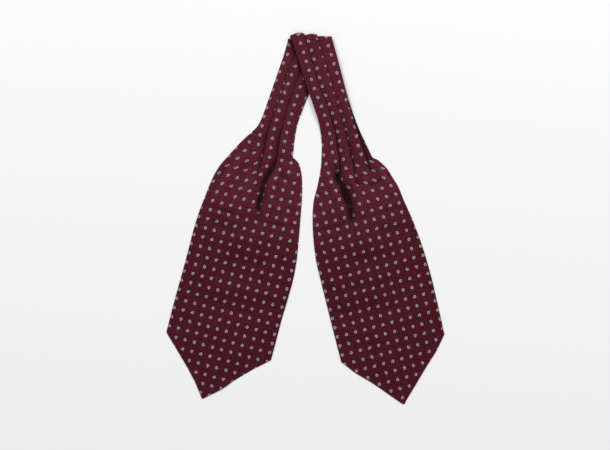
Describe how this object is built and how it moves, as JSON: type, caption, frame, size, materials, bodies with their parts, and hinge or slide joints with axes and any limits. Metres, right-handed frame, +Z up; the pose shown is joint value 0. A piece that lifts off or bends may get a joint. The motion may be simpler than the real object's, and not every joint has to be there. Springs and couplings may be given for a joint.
{
  "type": "silk cravat",
  "caption": "Silk day cravat laid flat: a knife-pleated neckband folded in half over itself, with two wide pointed blades fanning out below.",
  "frame": {"origin": "on the surface the cravat lies on, under the middle of its outline", "axes": "+Z up out of the surface, +Y from the blades' points towards the folded neckband, +X to the right seen from above"},
  "size_m": [0.3946, 0.5269, 0.0057],
  "materials": {
    "silk": "burgundy printed silk twill with a small repeat of light teardrops, soft sheen"
  },
  "bodies": {
    "root": {"left_blade": "silk", "left_pleat_1": "silk", "left_pleat_2": "silk", "left_pleat_3": "silk", "right_blade": "silk", "right_pleat_1": "silk", "right_pleat_2": "silk", "right_pleat_3": "silk", "right_pleat_4": "silk", "neckband_turn": "silk"}
  },
  "joints": []
}
